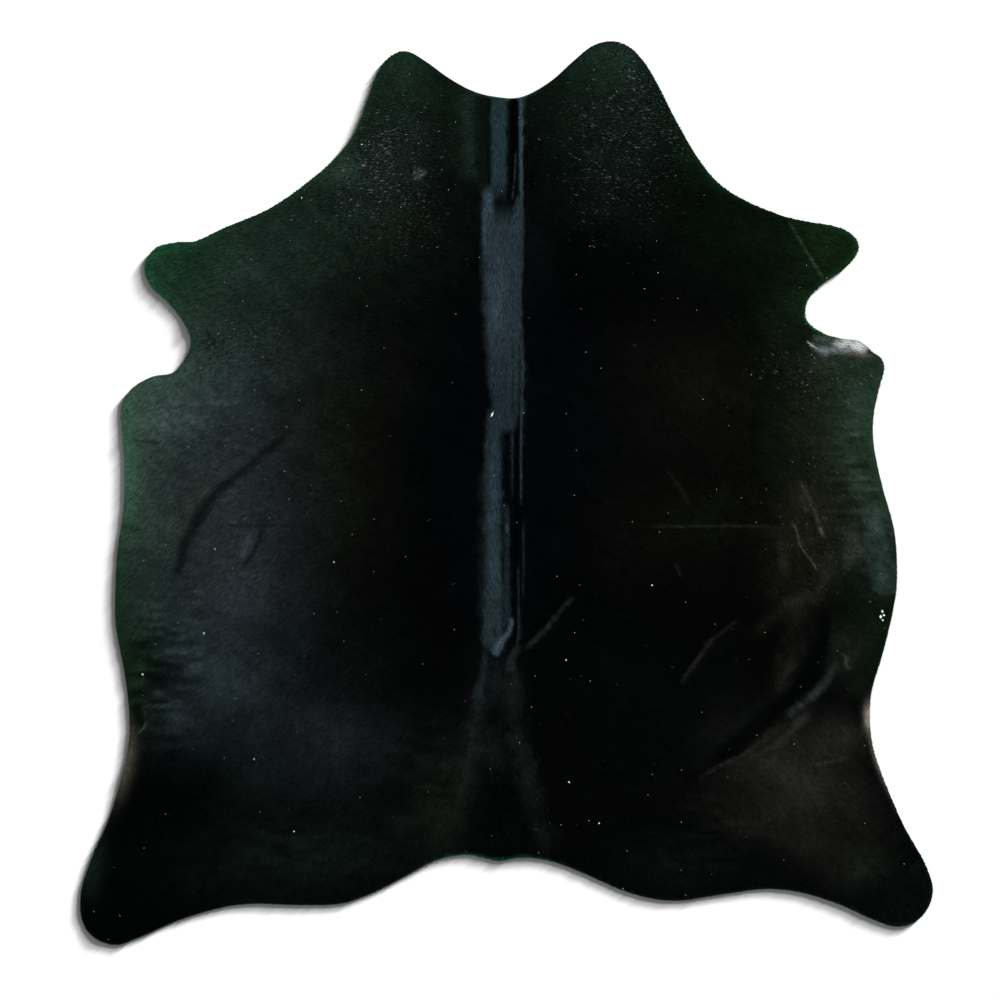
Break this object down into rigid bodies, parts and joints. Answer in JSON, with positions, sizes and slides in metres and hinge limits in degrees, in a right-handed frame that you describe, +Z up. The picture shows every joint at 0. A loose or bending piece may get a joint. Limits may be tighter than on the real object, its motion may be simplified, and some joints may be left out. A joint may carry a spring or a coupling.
{
  "type": "hair-on cowhide rug",
  "caption": "Black-dyed cowhide rug with its hair on, trimmed to a smooth outline and lying flat, with a sleek strip along the spine and soft folds.",
  "frame": {"origin": "on the floor, under the middle of the hide's box", "axes": "+Z up out of the coat, +Y along the spine towards the neck, +X towards the hide's right edge seen from above with the neck at the top"},
  "size_m": [2.0762, 2.2, 0.0159],
  "materials": {
    "coat": "satin",
    "flesh_side": "matte"
  },
  "bodies": {
    "root": {"hide": "coat"}
  },
  "joints": []
}
